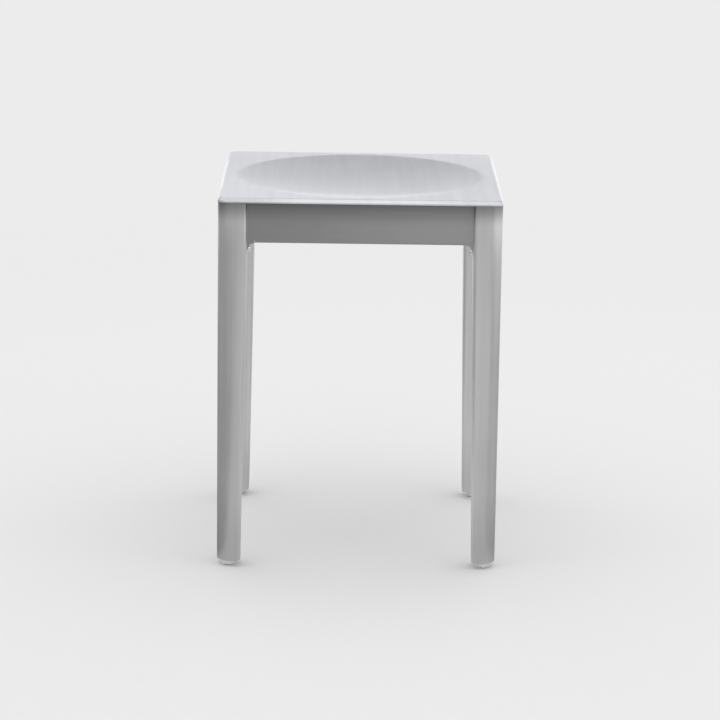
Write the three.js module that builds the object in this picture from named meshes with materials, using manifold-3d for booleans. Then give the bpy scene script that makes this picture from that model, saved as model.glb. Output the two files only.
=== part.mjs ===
// Stacking stool in welded aluminium: a pressed seat pan on four tapered tube legs, tied
// together by four apron rails. Millimetres, +Z up, with the front towards -Y.
// The origin is on the floor, midway between the four legs.

import * as THREE from 'three';
import { mergeVertices } from 'three/addons/utils/BufferGeometryUtils.js';
import Module from 'manifold-3d';

const wasm = await Module();
wasm.setup();

// Seat pan: one sheet, turned down at its rim and pressed into a round dish.
const seatHeight = 462;
const seatWidth = 345;
const seatCornerRadius = 12;
const sheetThickness = 3;
const rimHeight = 5.6;
const rimInnerBend = 2.2;
const dishMargin = 18.5;
const dishDepth = 11;

// Legs: tubes with upright outer faces. The two inner faces lean out towards the foot.
const legInset = 0.5;
const legTopWidth = 35.5;
const legFootWidth = 29;
const legWall = 2.5;
const legCornerRadius = 16.5;
const legEdgeRadius = 4.5;
const straightBelowWeld = 6;

// Apron rails: angle section with the flange turned in, and coved ends against the legs.
const apronDrop = 56;
const apronSetback = 9;
const apronThickness = 3;
const apronFlange = 14;
const apronInnerBend = 1.2;
const coveRadius = 7;
const coveTip = 1.2;

// Welds: a bead inside each apron end, and two short stitches under the seat per side.
const beadRadius = 4;
const stitchRadius = 3.5;
const stitchLength = 26;
const stitchPlaceShare = 0.55;

// Corner gussets: flat plates under the corners of the pan.
const gussetThickness = 3;
const gussetReach = 52;

// Glides and the ribbed sockets that hold them in the leg ends.
const glideDrop = 8;
const glideSetback = 4.5;
const glidePadRadius = 5;
const glideRimHeight = 2;
const stemRadius = 4;
const stemLength = 15;
const stemChamfer = 1;
const socketHeight = 20;
const socketRibDepth = 1;
const socketRibHeight = 2;
const socketRibCount = 3;

// Clearance at every joint, and how far cuts and overlapped joins run past a face.
const jointGap = 0.3;
const overrun = 2;

// Facets.
const cornerFacets = 4;
const socketFacets = 2;
const rimFacets = 4;
const dishSegments = 72;
const dishRings = 8;
const glideSegments = 24;
const glideFacets = 5;

// Heights and half widths that several pieces share.
const seatHalf = seatWidth / 2;
const rimBottom = seatHeight - rimHeight;
const rimOuterBend = rimInnerBend + sheetThickness;
const sheetUnderside = seatHeight - sheetThickness;
const dishRadius = seatHalf - dishMargin;
const legOuter = seatHalf - legInset;
const legSide = legOuter - legTopWidth;
const legTop = rimBottom - jointGap;
const apronOuter = seatHalf - apronSetback;
const apronInner = apronOuter - apronThickness;
const apronHalf = legSide - jointGap;
const apronTop = sheetUnderside - jointGap;
const apronBottom = seatHeight - apronDrop;
const coveBottom = apronBottom - coveRadius;
const gussetBottom = apronTop - gussetThickness;
const taperStart = coveBottom - beadRadius - straightBelowWeld;
const footCentre = legOuter - legFootWidth / 2;
const glideRadius = legFootWidth / 2 - glideSetback;

const quarterTurn = Math.PI / 2;

const aluminium = { color: 0xc6c9cd, roughness: 0.42, metalness: 0.85 };
const weldMetal = { color: 0xd2d4d6, roughness: 0.3, metalness: 0.9 };
const greyNylon = { color: 0xa9abac, roughness: 0.55, metalness: 0 };
const darkNylon = { color: 0x4b4d4f, roughness: 0.65, metalness: 0 };

// Solid from a closed geometry, without the flat triangles at a lathe's poles.
function solidOf(geometry) {
  geometry.deleteAttribute('normal');
  geometry.deleteAttribute('uv');
  const merged = mergeVertices(geometry);
  const corners = merged.index.array;
  const triangles = [];
  for (let i = 0; i < corners.length; i += 3) {
    const [a, b, c] = corners.slice(i, i + 3);
    if (a !== b && b !== c && c !== a) {
      triangles.push(a, b, c);
    }
  }
  return new wasm.Manifold(new wasm.Mesh({
    numProp: 3,
    vertProperties: new Float32Array(merged.attributes.position.array),
    triVerts: new Uint32Array(triangles),
  }));
}

function meshOf(name, solid, finish) {
  const { vertProperties, triVerts } = solid.getMesh();
  const geometry = new THREE.BufferGeometry();
  geometry.setAttribute('position', new THREE.BufferAttribute(vertProperties, 3));
  geometry.setIndex(new THREE.BufferAttribute(triVerts, 1));
  geometry.computeVertexNormals();
  const mesh = new THREE.Mesh(geometry, new THREE.MeshStandardMaterial(finish));
  mesh.name = name;
  return mesh;
}

// Rectangle with its own radius at the front left, front right, back right and back left.
function roundedRectangle(left, front, right, back, radii) {
  const [frontLeft, frontRight, backRight, backLeft] = radii;
  const shape = new THREE.Shape();
  shape.absarc(left + frontLeft, front + frontLeft, frontLeft, 2 * quarterTurn, 3 * quarterTurn);
  shape.absarc(right - frontRight, front + frontRight, frontRight, 3 * quarterTurn, 4 * quarterTurn);
  shape.absarc(right - backRight, back - backRight, backRight, 0, quarterTurn);
  shape.absarc(left + backLeft, back - backLeft, backLeft, quarterTurn, 2 * quarterTurn);
  shape.closePath();
  return shape;
}

function roundedSquare(half, radius) {
  return roundedRectangle(-half, -half, half, half, [radius, radius, radius, radius]);
}

// Quarter disc from its square corner, opening anticlockwise from the start angle.
function quarterDisc(x, y, radius, start) {
  const shape = new THREE.Shape();
  shape.moveTo(x, y);
  shape.lineTo(x + radius * Math.cos(start), y + radius * Math.sin(start));
  shape.absarc(x, y, radius, start, start + quarterTurn);
  shape.closePath();
  return shape;
}

// Upright prism of a plan outline, between two heights.
function uprightPrism(shape, bottom, top, facets = cornerFacets) {
  const settings = { depth: top - bottom, bevelEnabled: false, curveSegments: facets };
  return solidOf(new THREE.ExtrudeGeometry(shape, settings).translate(0, 0, bottom));
}

// Prism of an outline drawn in Y and Z, between two places along X.
function prismAlongX(shape, from, to) {
  const settings = { depth: to - from, bevelEnabled: false, curveSegments: cornerFacets };
  const geometry = new THREE.ExtrudeGeometry(shape, settings);
  return solidOf(geometry.rotateX(quarterTurn).rotateZ(quarterTurn).translate(from, 0, 0));
}

// Prism of an outline drawn in X and Z, between two places along Y.
function prismAlongY(shape, from, to) {
  const settings = { depth: to - from, bevelEnabled: false, curveSegments: cornerFacets };
  return solidOf(new THREE.ExtrudeGeometry(shape, settings).rotateX(quarterTurn).translate(0, to, 0));
}

function turned(points, segments) {
  return solidOf(new THREE.LatheGeometry(points, segments).rotateX(quarterTurn));
}

// Dish surface as a profile from the middle out, at a depth below the top of the sheet.
function dishProfile(below) {
  const points = [];
  for (let ring = 0; ring <= dishRings; ring += 1) {
    const share = ring / dishRings;
    const drop = dishDepth * (1 - share ** 2);
    points.push(new THREE.Vector2(dishRadius * share, seatHeight - below - drop));
  }
  return points;
}

// Solid between a dish surface and a flat top above it.
function dishBody(below, top) {
  const lid = [new THREE.Vector2(dishRadius, top), new THREE.Vector2(0, top)];
  return turned([...dishProfile(below), ...lid], dishSegments);
}

// Square plate with soft corners and soft edges, upright from the bottom height up.
function softPlate(half, cornerRadius, edgeRadius, bottom, top) {
  return solidOf(new THREE.ExtrudeGeometry(roundedSquare(half, cornerRadius), {
    depth: top - edgeRadius - bottom,
    bevelThickness: edgeRadius,
    bevelSize: edgeRadius,
    bevelOffset: -edgeRadius,
    bevelSegments: rimFacets,
    curveSegments: cornerFacets,
  }).translate(0, 0, bottom));
}

function seatPan() {
  const slab = softPlate(seatHalf, seatCornerRadius, rimOuterBend, rimBottom, seatHeight);
  const trimBottom = rimBottom - rimOuterBend - overrun;
  const trim = uprightPrism(roundedSquare(seatHalf + overrun, seatCornerRadius), trimBottom, rimBottom);
  const pocket = softPlate(
    seatHalf - sheetThickness,
    seatCornerRadius - sheetThickness,
    rimInnerBend,
    rimBottom - overrun,
    sheetUnderside,
  );
  const belly = dishBody(sheetThickness, seatHeight - sheetThickness / 2);
  const dish = dishBody(0, seatHeight + overrun);
  return slab.subtract(trim).subtract(pocket).add(belly).subtract(dish);
}

// How far the inner faces of a leg have moved out at a height.
function taperAt(height) {
  const slope = (legTopWidth - legFootWidth) / (taperStart - glideDrop);
  return Math.max(taperStart - height, 0) * slope;
}

// Leg post of the given inset from the tube's outer faces, at the front right corner.
function legPost(inset, bottom, top) {
  const outer = legOuter - inset;
  const inner = legSide + inset;
  const edge = legEdgeRadius - inset;
  const radii = [edge, legCornerRadius - inset, edge, edge];
  const section = roundedRectangle(inner, -outer, outer, -inner, radii);
  const levels = [bottom, taperStart, top];
  const geometry = new THREE.ExtrudeGeometry(section, {
    depth: 1,
    steps: levels.length - 1,
    bevelEnabled: false,
    curveSegments: cornerFacets,
  });
  const middle = (legOuter + legSide) / 2;
  const position = geometry.attributes.position;
  for (let i = 0; i < position.count; i += 1) {
    const height = levels[Math.round(position.getZ(i) * (levels.length - 1))];
    const x = position.getX(i);
    const y = position.getY(i);
    position.setXYZ(
      i,
      x < middle ? x + taperAt(height) : x,
      y > -middle ? y - taperAt(height) : y,
      height,
    );
  }
  return solidOf(geometry);
}

function leg() {
  const bore = legPost(legWall, glideDrop - overrun, legTop + overrun);
  return legPost(0, glideDrop, legTop).subtract(bore);
}

// Plate at one end of an apron, whose lower corner sweeps down to the leg.
function apronEnd(hand) {
  const coveStart = apronHalf - coveTip - coveRadius;
  const shape = new THREE.Shape();
  shape.moveTo(hand * (coveStart - overrun), apronTop);
  shape.lineTo(hand * apronHalf, apronTop);
  shape.lineTo(hand * apronHalf, coveBottom);
  shape.lineTo(hand * (apronHalf - coveTip), coveBottom);
  const [from, to] = hand > 0 ? [0, quarterTurn] : [2 * quarterTurn, quarterTurn];
  shape.absarc(hand * coveStart, coveBottom, coveRadius, from, to, hand < 0);
  shape.lineTo(hand * (coveStart - overrun), apronBottom);
  shape.closePath();
  return prismAlongY(shape, -apronOuter, -apronInner);
}

function apron() {
  const outerBend = apronInnerBend + apronThickness;
  const flangeEdge = -apronOuter + apronFlange;
  const flangeTop = apronBottom + apronThickness;
  const bendFront = -apronOuter + outerBend;
  const bendTop = apronBottom + outerBend;
  const section = new THREE.Shape();
  section.moveTo(-apronOuter, apronTop);
  section.lineTo(-apronOuter, bendTop);
  section.absarc(bendFront, bendTop, outerBend, 2 * quarterTurn, 3 * quarterTurn);
  section.lineTo(flangeEdge, apronBottom);
  section.lineTo(flangeEdge, flangeTop);
  section.absarc(bendFront, bendTop, apronInnerBend, 3 * quarterTurn, 2 * quarterTurn, true);
  section.lineTo(-apronInner, apronTop);
  section.closePath();
  const flangeHalf = apronHalf - coveTip - coveRadius;
  return prismAlongX(section, -flangeHalf, flangeHalf).add(apronEnd(1)).add(apronEnd(-1));
}

// Bead in the inside corner between an apron end and its leg, wrapped under the cove's tip.
function apronWeld(hand) {
  const x = hand * (legSide - jointGap);
  const back = -apronInner + jointGap;
  const under = coveBottom - jointGap;
  const inside = quarterDisc(x, back, beadRadius, hand > 0 ? quarterTurn : 0);
  const below = quarterDisc(x, under, beadRadius, hand > 0 ? 2 * quarterTurn : 3 * quarterTurn);
  const upright = uprightPrism(inside, under - beadRadius / 2, gussetBottom - jointGap);
  return upright.add(prismAlongY(below, -apronOuter, back + beadRadius / 2));
}

// Short bead under the seat sheet, against the inside of the apron.
function seatStitch(hand) {
  const middle = hand * stitchPlaceShare * (apronHalf - gussetReach);
  const shape = quarterDisc(-apronInner + jointGap, apronTop, stitchRadius, 3 * quarterTurn);
  return prismAlongX(shape, middle - stitchLength / 2, middle + stitchLength / 2);
}

// Triangular plate that fills the corner between two aprons, notched round the leg.
function cornerGusset() {
  const side = apronInner - jointGap;
  const notch = apronHalf;
  const reach = notch - gussetReach;
  const outline = [[notch, -side], [notch, -notch], [side, -notch], [side, -reach], [reach, -side]];
  const shape = new THREE.Shape(outline.map(([x, y]) => new THREE.Vector2(x, y)));
  return uprightPrism(shape, gussetBottom, apronTop);
}

// Outline of the leg's bore at the foot, drawn in by an inset.
function footOutline(inset) {
  const depth = legWall + inset;
  const edge = legEdgeRadius - legWall;
  const outer = legOuter - depth;
  const inner = legOuter - legFootWidth + depth;
  const radii = [edge, legCornerRadius - depth, edge, edge];
  return roundedRectangle(inner, -outer, outer, -inner, radii);
}

function glideSocket() {
  const top = glideDrop + socketHeight;
  const ribPitch = (socketHeight - socketRibHeight) / (socketRibCount - 1);
  const ribOutline = footOutline(jointGap);
  let socket = uprightPrism(footOutline(jointGap + socketRibDepth), glideDrop, top, socketFacets);
  for (let rib = 0; rib < socketRibCount; rib += 1) {
    const bottom = glideDrop + rib * ribPitch;
    socket = socket.add(uprightPrism(ribOutline, bottom, bottom + socketRibHeight, socketFacets));
  }
  const hole = [
    new THREE.Vector2(0, glideDrop - overrun),
    new THREE.Vector2(stemRadius + jointGap, glideDrop - overrun),
    new THREE.Vector2(stemRadius + jointGap, top + overrun),
    new THREE.Vector2(0, top + overrun),
  ];
  return socket.subtract(turned(hole, glideSegments).translate(footCentre, -footCentre, 0));
}

// Domed foot with a flat pad below and a round stem above.
function glide() {
  const shoulder = glideDrop - jointGap;
  const rimStart = shoulder - glideRimHeight;
  const stemTop = glideDrop + stemLength;
  const points = [new THREE.Vector2(0, 0)];
  for (let facet = 0; facet <= glideFacets; facet += 1) {
    const angle = quarterTurn * (facet / glideFacets);
    const radius = glidePadRadius + (glideRadius - glidePadRadius) * Math.sin(angle);
    points.push(new THREE.Vector2(radius, rimStart * (1 - Math.cos(angle))));
  }
  points.push(
    new THREE.Vector2(glideRadius, shoulder),
    new THREE.Vector2(stemRadius, shoulder),
    new THREE.Vector2(stemRadius, stemTop - stemChamfer),
    new THREE.Vector2(stemRadius - stemChamfer, stemTop),
    new THREE.Vector2(0, stemTop),
  );
  return turned(points, glideSegments).translate(footCentre, -footCentre, 0);
}

const sides = ['front', 'right', 'rear', 'left'];
const corners = ['front_right', 'rear_right', 'rear_left', 'front_left'];

const stool = new THREE.Group();
stool.add(meshOf('seat_pan', seatPan(), aluminium));

sides.forEach((side, turn) => {
  const corner = corners[turn];
  const cornerBefore = corners[(turn + corners.length - 1) % corners.length];
  const quarter = new THREE.Group();
  quarter.rotation.z = turn * quarterTurn;
  quarter.add(
    meshOf(`leg_${corner}`, leg(), aluminium),
    meshOf(`apron_${side}`, apron(), aluminium),
    meshOf(`weld_apron_${side}_to_leg_${corner}`, apronWeld(1), weldMetal),
    meshOf(`weld_apron_${side}_to_leg_${cornerBefore}`, apronWeld(-1), weldMetal),
    meshOf(`seat_stitch_${side}_a`, seatStitch(1), weldMetal),
    meshOf(`seat_stitch_${side}_b`, seatStitch(-1), weldMetal),
    meshOf(`corner_gusset_${corner}`, cornerGusset(), aluminium),
    meshOf(`glide_socket_${corner}`, glideSocket(), darkNylon),
    meshOf(`glide_${corner}`, glide(), greyNylon),
  );
  stool.add(quarter);
});

export default stool;
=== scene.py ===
import math
import random

import bmesh
import bpy
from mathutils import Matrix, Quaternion, Vector


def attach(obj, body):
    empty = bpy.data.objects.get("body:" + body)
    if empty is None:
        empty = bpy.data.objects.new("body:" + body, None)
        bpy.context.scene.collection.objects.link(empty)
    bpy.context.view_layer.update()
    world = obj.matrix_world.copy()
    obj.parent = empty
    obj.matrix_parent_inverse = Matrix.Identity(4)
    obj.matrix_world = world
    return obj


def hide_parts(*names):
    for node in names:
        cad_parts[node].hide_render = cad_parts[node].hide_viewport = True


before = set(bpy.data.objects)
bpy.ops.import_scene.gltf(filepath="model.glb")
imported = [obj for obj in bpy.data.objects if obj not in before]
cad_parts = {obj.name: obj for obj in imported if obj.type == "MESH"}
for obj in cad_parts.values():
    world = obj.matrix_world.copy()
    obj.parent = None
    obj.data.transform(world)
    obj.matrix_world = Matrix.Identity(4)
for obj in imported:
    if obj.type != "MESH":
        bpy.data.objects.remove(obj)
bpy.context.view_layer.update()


# Camera: a long lens at more than twice the height of the seat, aimed between seat and
# floor and tipped by less than a degree.
camera_place = Vector((-0.01755, -3.6397, 1.1026))
camera_target = Vector((0.00278, 0, 0.2234))
camera_roll = math.radians(0.82)
bpy.ops.object.camera_add(location=camera_place)
camera = bpy.context.active_object
camera.data.sensor_width = 36
camera.data.lens = 146.96
camera.data.clip_end = 40
aim = (camera_target - camera_place).to_track_quat("-Z", "Y")
camera.rotation_euler = (aim @ Quaternion((0, 0, 1), camera_roll)).to_euler()
bpy.context.scene.camera = camera
bpy.context.scene.view_settings.view_transform = "Standard"


# Studio: a pale paper floor that runs out into a pale room, one wide soft light overhead,
# and boards and cards that only the metal's reflections show. They give the bare metal its
# darker sides.
class Shade:
    """A socket of a shader. Sums of shades and numbers add Math nodes."""

    def __init__(self, tree, socket=None):
        self.tree = tree
        self.socket = socket

    def node(self, kind, settings=None, inputs=None, output=0):
        made = self.tree.nodes.new(kind)
        for name, value in (settings or {}).items():
            setattr(made, name, value)
        for name, value in (inputs or {}).items():
            if isinstance(value, Shade):
                self.tree.links.new(value.socket, made.inputs[name])
            else:
                made.inputs[name].default_value = value
        return Shade(self.tree, made.outputs[output])

    def __getitem__(self, output):
        return Shade(self.tree, self.socket.node.outputs[output])

    def sum(self, operation, first, second):
        return self.node("ShaderNodeMath", {"operation": operation}, {0: first, 1: second})

    def __add__(self, other):
        return self.sum("ADD", self, other)

    def __sub__(self, other):
        return self.sum("SUBTRACT", self, other)

    def __rsub__(self, other):
        return self.sum("SUBTRACT", other, self)

    def __mul__(self, other):
        return self.sum("MULTIPLY", self, other)

    __radd__ = __add__
    __rmul__ = __mul__

    def __abs__(self):
        return self.sum("ABSOLUTE", self, 0)

    def larger(self, other):
        return self.sum("MAXIMUM", self, other)

    def smaller(self, other):
        return self.sum("MINIMUM", self, other)

    def eased(self, start, end):
        """Runs smoothly from 0 at the start value to 1 at the end value."""
        values = {"Value": self, "From Min": start, "From Max": end}
        return self.node("ShaderNodeMapRange", {"interpolation_type": "SMOOTHSTEP"}, values)

    def mix(self, first, second):
        """Mixes two colours by this shade."""
        values = {0: self, 6: (*first, 1), 7: (*second, 1)}
        return self.node("ShaderNodeMix", {"data_type": "RGBA"}, values, 2)

    def end(self, kind="ShaderNodeOutputMaterial"):
        """Links the finished shader to the material's or the world's output."""
        output = self.tree.nodes.new(kind)
        self.tree.links.new(self.socket, output.inputs["Surface"])


def new_material(name):
    material = bpy.data.materials.new(name)
    material.use_nodes = True
    material.node_tree.nodes.clear()
    return material, Shade(material.node_tree)


room_grey = (0.84, 0.84, 0.84, 1)
room_light = 0.975
world = bpy.data.worlds.new("pale_room")
bpy.context.scene.world = world
world.use_nodes = True
world.node_tree.nodes.clear()
room = Shade(world.node_tree)
path = room.node("ShaderNodeLightPath", output="Is Camera Ray")
seen = path.larger(path["Is Glossy Ray"]).larger(path["Is Transmission Ray"])
lit = room.node("ShaderNodeBackground", None, {"Color": (1, 1, 1, 1), "Strength": room_light})
shown = room.node("ShaderNodeBackground", None, {"Color": room_grey, "Strength": 1})
room.node("ShaderNodeMixShader", None, {0: seen, 1: lit, 2: shown}).end("ShaderNodeOutputWorld")

floor_size = 8
floor_fades = (1.0, 2.6)
paper_shades = ((0.787, 0.787, 0.787), (0.803, 0.803, 0.803))
bpy.ops.mesh.primitive_plane_add(size=floor_size)
floor = bpy.context.active_object
floor.name = "paper_floor"
floor.visible_glossy = False
paper, shade = new_material("pale_paper")
place = shade.node("ShaderNodeTexCoord", output="Object")
distance = shade.node("ShaderNodeVectorMath", {"operation": "LENGTH"}, {0: place}, "Value")
grain = shade.node("ShaderNodeTexNoise", None, {"Vector": place, "Scale": 60, "Detail": 4})
values = {
    "Base Color": grain.mix(*paper_shades),
    "Roughness": 0.9,
    "Specular IOR Level": 0,
    "Alpha": 1 - distance.eased(*floor_fades),
}
shade.node("ShaderNodeBsdfPrincipled", None, values).end()
floor.data.materials.append(paper)

bpy.ops.object.light_add(type="AREA", location=(0.3, 0.2, 2.6))
softbox = bpy.context.active_object
softbox.name = "overhead_softbox"
softbox.data.shape = "RECTANGLE"
softbox.data.size = 3
softbox.data.size_y = 2.4
softbox.data.energy = 10
softbox.visible_glossy = False

boards = {
    "board_low_behind": ((0, 3.4, 0.75), (90, 0, 0), (9, 1.5), 1.45),
    "board_high_behind": ((0, 3.4, 2.95), (90, 0, 0), (9, 2.9), 0.38),
    "board_low_in_front": ((0, -4.5, 0.95), (90, 0, 0), (7, 1.9), 0.34),
    "board_high_in_front": ((0, -4.5, 2.85), (90, 0, 0), (7, 1.9), 1.11),
    "board_low_on_the_left": ((-3, -0.8, 0.8), (90, 0, 90), (7, 1.6), 0.35),
    "board_high_on_the_left": ((-3, -0.8, 2.6), (90, 0, 90), (7, 2), 0.8),
    "board_on_the_right": ((3, -0.8, 1.8), (90, 0, 90), (7, 3.6), 0.84),
    "board_overhead": ((0, -0.55, 4), (0, 0, 0), (6, 7.7), 0.87),
    "card_on_the_left": ((-1.595, -1.6, 0.002), (0, 0, 0), (2.81, 5.6), 0.33),
    "card_towards_the_camera": ((0.18, -2.5, 0.002), (0, 0, 0), (0.74, 3.8), 0.65),
    "card_under_the_seat": ((0, 0.3, 0.002), (0, 0, 0), (0.38, 1.8), 0.53),
    "card_near_on_the_right": ((1.595, 0.3, 0.002), (0, 0, 0), (2.81, 1.8), 0.41),
    "card_far_on_the_right": ((1.775, -2.5, 0.002), (0, 0, 0), (2.45, 3.8), 0.31),
    "card_behind": ((0, 2.3, 0.002), (0, 0, 0), (6, 2.2), 0.85),
}
for name, (middle, turn, size, level) in boards.items():
    bpy.ops.mesh.primitive_plane_add(size=1, location=middle)
    board = bpy.context.active_object
    board.name = name
    board.rotation_euler = [math.radians(angle) for angle in turn]
    board.scale = (*size, 1)
    board.visible_camera = board.visible_diffuse = board.visible_shadow = False
    glow, shade = new_material(f"glow_of_{name}")
    shade.node("ShaderNodeEmission", None, {"Color": (1, 1, 1, 1), "Strength": level}).end()
    board.data.materials.append(glow)


# Seat pan: one aluminium sheet, 3 mm thick, pressed into a wide round dish, with its edge
# rolled down all round. It is ground from front to back and left satin.
def take(piece):
    """Selects this object alone."""
    bpy.ops.object.select_all(action="DESELECT")
    piece.select_set(True)
    bpy.context.view_layer.objects.active = piece


def shape_up():
    """Puts the new object's place in its mesh, and opens it in edit mode, all selected."""
    take(bpy.context.active_object)
    bpy.ops.object.transform_apply()
    bpy.ops.object.mode_set(mode="EDIT")
    bpy.ops.mesh.select_all(action="SELECT")
    return bpy.context.active_object


def pick(kind, test):
    """Selects the vertices, edges or faces whose middle passes a test."""
    modes = [kind == name for name in ("VERT", "EDGE", "FACE")]
    bpy.context.tool_settings.mesh_select_mode = modes
    bpy.ops.mesh.select_all(action="DESELECT")
    mesh = bpy.context.active_object.data
    shape = bmesh.from_edit_mesh(mesh)
    if kind == "VERT":
        parts = [(v, v.co) for v in shape.verts]
    elif kind == "EDGE":
        parts = [(e, (e.verts[0].co + e.verts[1].co) / 2) for e in shape.edges]
    else:
        parts = [(f, f.calc_center_median()) for f in shape.faces]
    for part, middle in parts:
        if test(middle, part):
            part.select_set(True)
    bmesh.update_edit_mesh(mesh)


slack = 1e-5
wide_slack = 1e-4


def near(first, second, within=slack):
    return abs(first - second) < within


def push(x=0.0, y=0.0, z=0.0):
    bpy.ops.transform.translate(value=(x, y, z))


def extrude(x=0.0, y=0.0, z=0.0):
    bpy.ops.mesh.extrude_region_move(TRANSFORM_OT_translate={"value": (x, y, z)})


def lathe(profile, segments, centre=(0, 0), start="NOTHING"):
    """Runs a ring through radii and heights, and closes the last ring."""
    x, y = centre
    (radius, height), *rest = profile
    place = (x, y, height)
    bpy.ops.mesh.primitive_circle_add(
        vertices=segments, radius=radius, location=place, fill_type=start
    )
    for next_radius, next_height in rest:
        share = next_radius / radius
        bpy.ops.mesh.extrude_edges_move()
        bpy.ops.transform.resize(value=(share, share, 1), center_override=(x, y, height))
        push(z=next_height - height)
        radius, height = next_radius, next_height
    bpy.ops.mesh.edge_face_add()


sharp_turn = 1


def soften(height, radius):
    """Rounds the edges at a height that are sharper than the least turn, in radians."""
    pick(
        "EDGE",
        lambda middle, edge: near(middle.z, height, wide_slack)
        and edge.calc_face_angle(0) > sharp_turn,
    )
    bpy.ops.mesh.bevel(offset=radius, segments=2)


def thicken(piece, thickness):
    """Gives a sheet its thickness, inwards."""
    bpy.ops.object.mode_set(mode="OBJECT")
    wall = piece.modifiers.new("wall", "SOLIDIFY")
    wall.thickness = thickness
    wall.offset = -1
    wall.use_even_offset = True
    bpy.ops.object.modifier_apply(modifier="wall")
    bpy.ops.object.mode_set(mode="EDIT")


def shade_smoothly(degrees=35):
    """Turns the faces outwards, leaves edit mode and smooths all but the sharp edges."""
    bpy.ops.mesh.select_all(action="SELECT")
    bpy.ops.mesh.normals_make_consistent(inside=False)
    bpy.ops.object.mode_set(mode="OBJECT")
    bpy.ops.object.shade_smooth_by_angle(angle=math.radians(degrees))


def dress(piece, name, node, material):
    """Names a finished piece, finishes it and puts it in the place of its CAD node."""
    piece.name = piece.data.name = name
    piece.data.materials.clear()
    piece.data.materials.append(material)
    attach(piece, "root")
    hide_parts(node)


grinding_shades = (0.95, 1.035)
grinding_contrast = (0.35, 0.62)
fine_share, coarse_share = 0.55, 0.45
line_tone, band_tone, smudge_tone = 0.4, 0.35, 0.25
line_gloss, smudge_gloss = 0.12, 0.1
line_depth = 0.00004


def brushed_aluminium(name, along, base, roughness=0.42, painted_shading=None, edge=1):
    """Satin metal with grinding lines along one axis, faint smudges and duller patches.

    Where given, painted light and shade scale its colour from place to place, and it keeps a
    share of its shine where it turns away."""
    material, shade = new_material(name)
    place = shade.node("ShaderNodeTexCoord", output="Object")

    def streaks(lengthwise, across):
        scale = [lengthwise if axis == along else across for axis in "XYZ"]
        drawn_out = shade.node("ShaderNodeMapping", None, {"Vector": place, "Scale": scale})
        values = {"Vector": drawn_out, "Scale": 1, "Detail": 2}
        return shade.node("ShaderNodeTexNoise", None, values)

    fine_lines = streaks(lengthwise=12, across=1500)
    coarse_lines = streaks(lengthwise=5, across=330)
    bands = streaks(lengthwise=3, across=120)
    smudge = shade.node("ShaderNodeTexNoise", None, {"Vector": place, "Scale": 22, "Detail": 4})
    lines = fine_share * fine_lines + coarse_share * coarse_lines
    tone = line_tone * lines + band_tone * bands + smudge_tone * smudge
    dark, light = [[share * part for part in base] for share in grinding_shades]
    colour = tone.eased(*grinding_contrast).mix(dark, light)
    if painted_shading:
        # Painted light and shade scale the colour here.
        values = {0: colour, "Scale": painted_shading(shade, place)}
        colour = shade.node("ShaderNodeVectorMath", {"operation": "SCALE"}, values)
    values = {
        "Base Color": colour,
        "Metallic": 1,
        "Specular Tint": (edge, edge, edge, 1),
        "Roughness": roughness + smudge_gloss * (smudge - 0.5) + line_gloss * (lines - 0.5),
        "Normal": shade.node(
            "ShaderNodeBump", None, {"Height": lines, "Strength": 0.35, "Distance": line_depth}
        ),
    }
    shade.node("ShaderNodeBsdfPrincipled", None, values).end()
    return material


# Painted shade on the seat, and a painted gradient on its top: the shares of its colour that
# go, and the runs in metres over which they come in.
dish_shade, dish_rim_run = 0.19, (0.147, 0.16)
dish_front_shade, dish_front_run = 0.3, (-0.145, -0.08)
dish_rear_less_shade, dish_rear_run = 0.5, (-0.07, 0.12)
dish_rear_left_less_shade, dish_rear_left_run = 0.5, (0.13, 0.29)
top_shade, top_slant, top_run = 0.115, 0.5, (-0.25, 0.06)
rolled_run = (0.167, 0.171)
corner_run = (0.185, 0.215)
edge_shade_left, edge_shade_right, edge_shade_run = 0.17, 0.1, (-0.1, 0.1)


def painted_shade_on_the_seat(shade, place):
    """Painted shade darkens the dish below its flat margin, least at its front and rear left.

    A painted gradient lights the top towards its front left corner, and painted shade darkens
    the rolled edge near the corners, most of all on the left."""
    flat = shade.node("ShaderNodeVectorMath", {"operation": "MULTIPLY"}, {0: place, 1: (1, 1, 0)})
    distance = shade.node("ShaderNodeVectorMath", {"operation": "LENGTH"}, {0: flat}, "Value")
    apart = shade.node("ShaderNodeSeparateXYZ", None, {"Vector": place})
    x, y = apart["X"], apart["Y"]
    dish = 1 - distance.eased(*dish_rim_run)
    shading_mask = dish_front_shade + (1 - dish_front_shade) * y.eased(*dish_front_run)
    shading_mask = shading_mask * (1 - dish_rear_less_shade * y.eased(*dish_rear_run))
    shading_mask = shading_mask * (1 - dish_rear_left_less_shade * (2 * y - x).eased(*dish_rear_left_run))
    rolled = abs(x).larger(abs(y)).eased(*rolled_run)
    slanting = (top_slant * x + y).eased(*top_run) * (1 - rolled)
    edge_shade = edge_shade_left - (edge_shade_left - edge_shade_right) * x.eased(*edge_shade_run)
    painted_shade_mask = distance.eased(*corner_run) * rolled * edge_shade
    return (1 - dish_shade * shading_mask * dish) * (1 - top_shade * slanting) * (1 - painted_shade_mask)


seat_width = 0.345
seat_top = 0.462
seat_sheet = 0.003
rim_height = 0.0056
rim_radius = 0.0052
rim_end_radius = 0.0003
corner_radius = 0.012
corner_segments = 31
dish_radius = 0.154
dish_depth = 0.011
dish_blend = 0.003
dish_edge_rings = 6
dish_rings = 18
dish_middle = 0.005
flat_border = 0.0004
rim_bottom = seat_top - rim_height

blend_start = dish_radius - dish_blend
blend_drop = dish_depth * (1 - (blend_start / dish_radius) ** 2)
dish_profile = [(dish_radius + dish_blend + flat_border, seat_top)]
for ring in range(dish_edge_rings):
    share = ring / dish_edge_rings
    radius = blend_start + 2 * dish_blend * (1 - share)
    dish_profile.append((radius, seat_top - blend_drop * share**2))
for ring in range(dish_rings + 1):
    radius = blend_start + (dish_middle - blend_start) * ring / dish_rings
    dish_profile.append((radius, seat_top - dish_depth * (1 - (radius / dish_radius) ** 2)))

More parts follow.
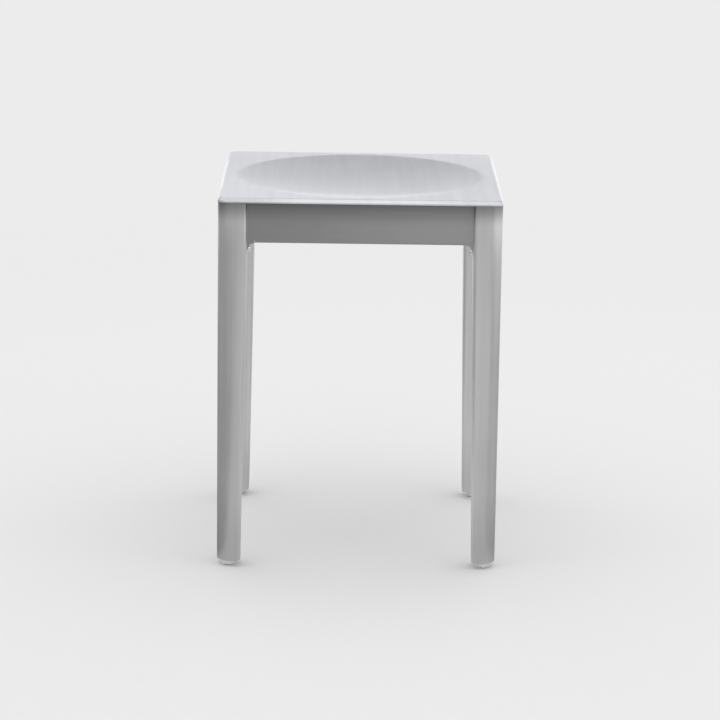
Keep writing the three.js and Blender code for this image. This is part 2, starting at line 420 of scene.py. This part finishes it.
bpy.ops.mesh.primitive_plane_add(size=seat_width, location=(0, 0, rim_bottom))
seat = shape_up()
bpy.ops.mesh.bevel(offset=corner_radius, segments=corner_segments, affect="VERTICES")
bpy.ops.mesh.select_all(action="SELECT")
extrude(z=rim_height)
pick("EDGE", lambda middle, edge: near(middle.z, seat_top))
bpy.ops.mesh.bevel(offset=rim_radius, segments=8)
pick("FACE", lambda middle, face: near(middle.z, seat_top))
bpy.ops.mesh.inset(thickness=flat_border)
bpy.ops.mesh.delete(type="ONLY_FACE")
pick("FACE", lambda middle, face: near(middle.z, rim_bottom))
bpy.ops.mesh.delete(type="ONLY_FACE")
lathe(dish_profile, segments=4 * (corner_segments + 1))
pick("EDGE", lambda middle, edge: edge.is_boundary and near(middle.z, seat_top))
bpy.ops.mesh.bridge_edge_loops()
bpy.ops.mesh.select_all(action="SELECT")
bpy.ops.mesh.normals_make_consistent(inside=False)
thicken(seat, seat_sheet)
soften(rim_bottom, rim_end_radius)
shade_smoothly()
seat_tone = (0.915, 0.925, 0.965)
# The seat's colour carries painted shade in the dish and on the rolled edge, and a painted
# gradient on the top.
front_to_back = brushed_aluminium(
    "aluminium_ground_front_to_back", "Y", seat_tone, painted_shading=painted_shade_on_the_seat
)
dress(seat, "seat_sheet", "seat_pan", front_to_back)


# Legs: four drawn aluminium tubes with one large rounded corner outside. Two inner walls
# lean out towards the foot, and the tops are welded up under the corners of the seat.
leg_outer = 0.172
leg_foot_width = 0.029
leg_top_width = 0.0355
leg_foot = 0.008
leg_straight = 0.389
leg_top = 0.4561
leg_wall = 0.0025
leg_outer_radius = 0.0165
leg_edge_radius = 0.0045
leg_end_radius = 0.0004
corners = ("front_right", "rear_right", "rear_left", "front_left")
foot_middle = leg_outer - leg_foot_width / 2
foot_inner = leg_outer - leg_foot_width


def turned_copy(piece, quarters, mirrored=False):
    """A copy with its own mesh, mirrored if asked and turned about the stool's middle."""
    take(piece)
    bpy.ops.object.duplicate()
    copy = bpy.context.active_object
    copy.scale.x = -1 if mirrored else 1
    copy.rotation_euler.z = quarters * math.pi / 2
    shape_up()
    bpy.ops.mesh.normals_make_consistent(inside=False)
    bpy.ops.object.mode_set(mode="OBJECT")
    return copy


# Painted light and shade on the legs, in shares of colour and runs in metres. Off the painted
# light on their inner sides the legs keep a share set below; the inner walls lean by inner_lean.
leg_top_shade, under_seat_shade_run = 0.62, (0.428, 0.458)
foot_shade, foot_run = 0.25, (0.02, 0.1)
outside_painted_light = 0.868
inner_lean, inner_run = 0.017, (0.1431, 0.1462)
weld_run = (0.385, 0.405)
rear_leg_less_light, rear_leg_run = 0.5, (0, 0.1)
front_left_leg_shade, front_left_shade_run = 0.045, (-0.25, -0.1)


def painted_light_on_the_leg(shade, place):
    """Painted shade darkens it under the seat and at the foot.

    Painted light makes the inner sides paler, most of all on the front pair. The front left leg
    is a little darker all over, from painted shade."""
    apart = shade.node("ShaderNodeSeparateXYZ", None, {"Vector": place})
    x, y, height = apart["X"], apart["Y"], apart["Z"]
    top_and_foot_shade = height.eased(*under_seat_shade_run) + foot_shade * (1 - height.eased(*foot_run))
    inside = 1 - (abs(x).smaller(abs(y)) + inner_lean * height).eased(*inner_run)
    shading_mask = inside * (1 - height.eased(*weld_run))
    shading_mask = shading_mask * (1 - rear_leg_less_light * y.eased(*rear_leg_run))
    painted_shade_mask = 1 - (x + y).eased(*front_left_shade_run)
    painted_shading = (1 - leg_top_shade * top_and_foot_shade) * (outside_painted_light + (1 - outside_painted_light) * shading_mask)
    return painted_shading * (1 - front_left_leg_shade * painted_shade_mask)


bpy.ops.mesh.primitive_plane_add(
    size=leg_foot_width, location=(foot_middle, -foot_middle, leg_foot)
)
leg = shape_up()
pick("VERT", lambda middle, corner: near(middle.x, leg_outer) and near(middle.y, -leg_outer))
bpy.ops.mesh.bevel(offset=leg_outer_radius, segments=14, affect="VERTICES")
pick("VERT", lambda middle, corner: near(middle.x, foot_inner) or near(middle.y, -foot_inner))
bpy.ops.mesh.bevel(offset=leg_edge_radius, segments=6, affect="VERTICES")
bpy.ops.mesh.select_all(action="SELECT")
extrude(z=leg_straight - leg_foot)
pick("VERT", lambda middle, corner: near(middle.z, leg_straight) and middle.x < foot_middle)
push(x=leg_foot_width - leg_top_width)
pick("VERT", lambda middle, corner: near(middle.z, leg_straight) and middle.y > -foot_middle)
push(y=leg_top_width - leg_foot_width)
pick("FACE", lambda middle, face: near(middle.z, leg_straight))
extrude(z=leg_top - leg_straight)
pick("FACE", lambda middle, face: near(middle.z, leg_top) or near(middle.z, leg_foot))
bpy.ops.mesh.delete(type="ONLY_FACE")
bpy.ops.mesh.select_all(action="SELECT")
bpy.ops.mesh.normals_make_consistent(inside=False)
thicken(leg, leg_wall)
soften(leg_foot, leg_end_radius)
soften(leg_top, leg_end_radius)
shade_smoothly()
leg_tone = (0.95, 0.953, 0.955)
# The legs' colour carries painted light and shade.
upright = brushed_aluminium(
    "aluminium_ground_upright", "Z", leg_tone, painted_shading=painted_light_on_the_leg, edge=0.8
)
for quarters, corner in enumerate(corners):
    tube = turned_copy(leg, quarters)
    dress(tube, f"leg_tube_{corner}", f"leg_{corner}", upright)
bpy.data.objects.remove(leg)


# Apron rails: aluminium angle, 3 mm thick, set back under the seat's rim with its flange
# folded in. Each end drops in a cove to the leg, and a short slot frees it from the fold.
apron_reach = 0.1362
apron_face = 0.1635
apron_sheet = 0.003
apron_top = 0.4587
apron_bottom = 0.406
flange_depth = 0.014
bend_radius = 0.0042
cove_radius = 0.007
cove_tip = 0.0012
slot_width = 0.0004
cove_edge_chamfer = 0.0005
cove_merge = 5e-5
flange_edge_radius = 0.0005
sides = ("front", "right", "rear", "left")
tip_inner = apron_reach - cove_tip
fold_end = tip_inner - cove_radius - slot_width
bend_height = apron_bottom + bend_radius
flange_edge = flange_depth - apron_face

bpy.ops.mesh.primitive_cube_add(
    size=1,
    location=(0, apron_sheet / 2 - apron_face, (apron_top + bend_height) / 2),
    scale=(2 * apron_reach, apron_sheet, apron_top - bend_height),
)
apron = shape_up()
for cut in (tip_inner, fold_end, fold_end - slot_width):
    for hand in (-1, 1):
        bpy.ops.mesh.select_all(action="SELECT")
        bpy.ops.mesh.bisect(plane_co=(hand * cut, 0, 0), plane_no=(1, 0, 0))
pick("FACE", lambda middle, face: near(middle.z, bend_height) and abs(middle.x) > fold_end)
extrude(z=-bend_radius)
pick("FACE", lambda middle, face: near(middle.z, apron_bottom) and abs(middle.x) > tip_inner)
extrude(z=-cove_radius)
pick(
    "EDGE",
    lambda middle, edge: (near(abs(middle.x), tip_inner) and middle.z > apron_bottom + wide_slack)
    or (near(middle.z, apron_bottom) and abs(middle.x) > tip_inner + slack),
)
bpy.ops.mesh.dissolve_edges()
pick("EDGE", lambda middle, edge: near(middle.z, apron_bottom) and near(abs(middle.x), tip_inner))
bpy.ops.mesh.bevel(offset=cove_radius - slack, segments=12)
bpy.ops.mesh.select_all(action="SELECT")
bpy.ops.mesh.remove_doubles(threshold=cove_merge)
pick("FACE", lambda middle, face: near(middle.z, bend_height) and near(middle.x, 0))
bend_middle = (0, bend_radius - apron_face, bend_height)
bpy.ops.mesh.spin(steps=7, angle=-math.pi / 2, center=bend_middle, axis=(1, 0, 0))
extrude(y=flange_depth - bend_radius)
pick("EDGE", lambda middle, edge: near(middle.y, flange_edge) and near(middle.x, 0))
bpy.ops.mesh.bevel(offset=flange_edge_radius, segments=3)
pick(
    "EDGE",
    lambda middle, edge: near(middle.y, -apron_face)
    and middle.z < apron_bottom + slack
    and edge.calc_face_angle(0) > sharp_turn
    and tip_inner - cove_radius < abs(middle.x) < apron_reach - slack,
)
bpy.ops.mesh.bevel(offset=cove_edge_chamfer)
shade_smoothly()


# Painted shade on the apron rails: darker under the seat and towards the left.
apron_top_shade = 0.45
apron_left, apron_right, apron_run = 0.91, 1.05, (-0.13, 0.13)


def painted_shade_on_the_apron(shade, place):
    """Painted shade darkens it under the seat and towards the left."""
    apart = shade.node("ShaderNodeSeparateXYZ", None, {"Vector": place})
    x, height = apart["X"], apart["Z"]
    sideways = apron_left + (apron_right - apron_left) * x.eased(*apron_run)
    return (1 - apron_top_shade * height.eased(*under_seat_shade_run)) * sideways


# The rails' tone is far darker than the legs': painted shade for rails set back under the seat.
apron_shaded_tone = (0.466, 0.468, 0.469)
crosswise, lengthwise = [
    brushed_aluminium(f"aluminium_apron_{name}", along, apron_shaded_tone, painted_shading=painted_shade_on_the_apron)
    for name, along in (("crosswise", "X"), ("lengthwise", "Y"))
]
for quarters, side in enumerate(sides):
    rail = turned_copy(apron, quarters)
    finish = lengthwise if quarters % 2 else crosswise
    dress(rail, f"apron_rail_{side}", f"apron_{side}", finish)
bpy.data.objects.remove(apron)


# Welds: a bead up the inside corner of each apron end, whose root fills the joint and whose
# foot wraps under the cove's tip, and two short stitches under the seat on each side.
bead_gap = 0.0001
bead_size = 0.0037
bead_foot = 0.3952
bead_top = 0.4554
root_width = 0.0002
root_depth = 0.0029
wrap_height = 0.4004
wrap_swell = 1.55
wrap_steps = ((0.0006, 0.97), (0.0006, 0.9), (0.0006, 0.8), (0.0004, 0.62), (0.0002, 0.45))
stitch_size = 0.0033
stitch_length = 0.026
stitch_places = (0.04631, -0.04631)
ripple_pitch = 0.0021
ripple_shape = ((0.2, 0.99), (0.25, 1.03), (0.3, 1), (0.25, 0.93))
ripple_swells = (0.97, 1.02)
ripple_end = 0.9
weld_rounding = 0.85
weld_smooth_angle = 50
welder = random.Random(11)


def ripple(corner, run, length):
    """Runs the selected section along an inside corner, in the ripples of a weld."""
    ripples = round(length / ripple_pitch)
    size = 1
    for number in range(ripples):
        swell = welder.uniform(*ripple_swells) if 0 < number < ripples - 1 else ripple_end
        for share, shape in ripple_shape:
            step = run * (share * length / ripples)
            extrude(*step)
            corner = corner + step
            scale = swell * shape / size
            bpy.ops.transform.resize(value=(scale, scale, scale), center_override=corner)
            size = swell * shape


weld_blue = (0.92, 0.94, 0.98)
weld_straw = (0.98, 0.97, 0.93)
weld_roughness, weld_skin = 0.28, 0.2
weld_grain = 0.0001


def weld_metal():
    """Bright cast skin of the bead, with a faint bluish to straw bloom."""
    material, shade = new_material("bright_weld_metal")
    place = shade.node("ShaderNodeTexCoord", output="Object")
    skin = shade.node("ShaderNodeTexNoise", None, {"Vector": place, "Scale": 900, "Detail": 3})
    bloom = shade.node("ShaderNodeTexNoise", None, {"Vector": place, "Scale": 140, "Detail": 1})
    values = {
        "Base Color": bloom.eased(0.35, 0.65).mix(weld_blue, weld_straw),
        "Metallic": 1,
        "Roughness": weld_roughness + weld_skin * skin,
        "Normal": shade.node(
            "ShaderNodeBump", None, {"Height": skin, "Strength": 0.4, "Distance": weld_grain}
        ),
    }
    shade.node("ShaderNodeBsdfPrincipled", None, values).end()
    return material


leg_side = leg_outer - leg_top_width
corner = Vector((leg_side - bead_gap, apron_sheet - apron_face + bead_gap, bead_top))
bpy.ops.mesh.primitive_plane_add(
    size=bead_size, location=corner + Vector((-bead_size / 2, bead_size / 2, 0))
)
bead = shape_up()
pick(
    "VERT",
    lambda middle, part: middle.x < corner.x - wide_slack and middle.y > corner.y + wide_slack,
)
bpy.ops.mesh.bevel(offset=weld_rounding * bead_size, segments=8, affect="VERTICES")
bpy.ops.mesh.select_all(action="SELECT")
ripple(corner, Vector((0, 0, -1)), bead_top - bead_foot)
bpy.ops.mesh.select_all(action="SELECT")
bpy.ops.mesh.bisect(plane_co=(corner.x - root_width, 0, 0), plane_no=(1, 0, 0))
for quarter in (1, 2, 3):
    bpy.ops.mesh.select_all(action="SELECT")
    cut = (corner.x - quarter * bead_size / 4, 0, 0)
    bpy.ops.mesh.bisect(plane_co=cut, plane_no=(1, 0, 0))
pick(
    "FACE",
    lambda middle, face: near(middle.y, corner.y, 2 * slack)
    and middle.x > corner.x - root_width
    and middle.z > wrap_height,
)
extrude(y=-root_depth)
pick("FACE", lambda middle, face: near(middle.y, corner.y, 2 * slack) and middle.z < wrap_height)
nose = Vector((corner.x - bead_size / 4, corner.y, (bead_foot + wrap_height) / 2))
extrude(y=-root_width)
bpy.ops.transform.resize(value=(wrap_swell, 1, wrap_swell), center_override=nose)
for step, share in wrap_steps:
    extrude(y=-step)
    bpy.ops.transform.resize(value=(share, 1, share), center_override=nose)
pick(
    "VERT",
    lambda middle, part: middle.y < corner.y - wide_slack
    and middle.x < corner.x - 2 * root_width,
)
bpy.ops.mesh.vertices_smooth(factor=0.5, repeat=3)
shade_smoothly(weld_smooth_angle)
bead_metal = weld_metal()
for quarters, side in enumerate(sides):
    for mirrored in (False, True):
        corner_name = corners[quarters - mirrored]
        weld = turned_copy(bead, quarters, mirrored)
        node = f"weld_apron_{side}_to_leg_{corner_name}"
        dress(weld, f"bead_{side}_{corner_name}", node, bead_metal)
bpy.data.objects.remove(bead)

corner = Vector((0, apron_sheet - apron_face + bead_gap, seat_top - seat_sheet - bead_gap))
bpy.ops.mesh.primitive_plane_add(
    size=stitch_size,
    rotation=(0, math.pi / 2, 0),
    location=corner + Vector((-stitch_length / 2, stitch_size / 2, -stitch_size / 2)),
)
stitch = shape_up()
pick(
    "VERT",
    lambda middle, part: middle.z < corner.z - wide_slack and middle.y > corner.y + wide_slack,
)
bpy.ops.mesh.bevel(offset=weld_rounding * stitch_size, segments=8, affect="VERTICES")
bpy.ops.mesh.select_all(action="SELECT")
ripple(corner - Vector((stitch_length / 2, 0, 0)), Vector((1, 0, 0)), stitch_length)
shade_smoothly(weld_smooth_angle)
for place, letter in zip(stitch_places, "ab"):
    stitch.location.x = place
    front_stitch = turned_copy(stitch, 0)
    for quarters, side in enumerate(sides):
        weld = turned_copy(front_stitch, quarters)
        node = f"seat_stitch_{side}_{letter}"
        dress(weld, f"stitch_{side}_{letter}", node, bead_metal)
    bpy.data.objects.remove(front_stitch)
bpy.data.objects.remove(stitch)


# Corner gussets and glide sockets: flat mill-finished plates in the corners of the pan, and
# dark plastic plugs in the leg ends. Both keep the shapes of the CAD and are hardly seen.
scuff_height = (0.0003, 0.003)
scuff_contrast = (0.35, 0.6)
stained, scuffed, worn_share = 0.15, 0.85, 0.62
scuff_roughness = 0.15
nylon_grain = 0.00005


def moulded_nylon(name, colour, roughness):
    """Matt plastic with a fine grain, and scuffs on the part near the floor."""
    material, shade = new_material(name)
    place = shade.node("ShaderNodeTexCoord", output="Object")
    height = shade.node("ShaderNodeSeparateXYZ", None, {"Vector": place}, "Z")
    grain = shade.node("ShaderNodeTexNoise", None, {"Vector": place, "Scale": 2500, "Detail": 2})
    stain = shade.node("ShaderNodeTexNoise", None, {"Vector": place, "Scale": 260, "Detail": 5})
    scuff = (1 - height.eased(*scuff_height)) * stain.eased(*scuff_contrast)
    worn = [worn_share * part for part in colour]
    values = {
        "Base Color": (stained * stain + scuffed * scuff).mix(colour, worn),
        "Roughness": roughness + scuff_roughness * scuff,
        "Normal": shade.node(
            "ShaderNodeBump", None, {"Height": grain, "Strength": 0.3, "Distance": nylon_grain}
        ),
    }
    shade.node("ShaderNodeBsdfPrincipled", None, values).end()
    return material


def recoat(node, material):
    """Gives a CAD node that stays as it is another material."""
    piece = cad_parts[node]
    piece.material_slots[0].link = "OBJECT"
    piece.material_slots[0].material = material


mill_tone = (0.72, 0.73, 0.74)
dark_grey = (0.07, 0.075, 0.08)
mill_finish = brushed_aluminium("aluminium_mill_finish", "X", mill_tone, roughness=0.5)
dark_nylon = moulded_nylon("dark_nylon", dark_grey, roughness=0.6)
for corner in corners:
    recoat(f"corner_gusset_{corner}", mill_finish)
    recoat(f"glide_socket_{corner}", dark_nylon)


# Glides: moulded grey nylon feet, domed down to a flat pad with the dimple of the gate in
# its middle. A round stem holds each one in its socket.
glide_radius = 0.01
glide_pad_radius = 0.005
glide_dome_height = 0.0057
glide_top = 0.0077
glide_top_edge = 0.0005
glide_edge_bulge = 0.3 * glide_top_edge
glide_facets = 14
gate_radius = 0.0011
gate_depth = 0.0003
gate_edge = 0.0003
stem_radius = 0.004
stem_top = 0.023
stem_chamfer = 0.001

glide_profile = [(gate_radius, gate_depth), (gate_radius + gate_edge, 0)]
for facet in range(glide_facets + 1):
    angle = facet / glide_facets * math.pi / 2
    radius = glide_pad_radius + (glide_radius - glide_pad_radius) * math.sin(angle)
    glide_profile.append((radius, glide_dome_height * (1 - math.cos(angle))))
glide_profile += [
    (glide_radius, glide_top - glide_top_edge),
    (glide_radius - glide_edge_bulge, glide_top - glide_edge_bulge),
    (glide_radius - glide_top_edge, glide_top),
    (stem_radius, glide_top),
    (stem_radius, stem_top - stem_chamfer),
    (stem_radius - stem_chamfer, stem_top),
]
bpy.ops.mesh.primitive_circle_add(radius=glide_radius)
glide = shape_up()
bpy.ops.mesh.delete(type="VERT")
lathe(glide_profile, segments=64, centre=(foot_middle, -foot_middle), start="NGON")
shade_smoothly()
pale_grey = (0.72, 0.725, 0.72)
pale_nylon = moulded_nylon("pale_grey_nylon", pale_grey, roughness=0.5)
for quarters, corner in enumerate(corners):
    foot = turned_copy(glide, quarters)
    dress(foot, f"glide_foot_{corner}", f"glide_{corner}", pale_nylon)
bpy.data.objects.remove(glide)
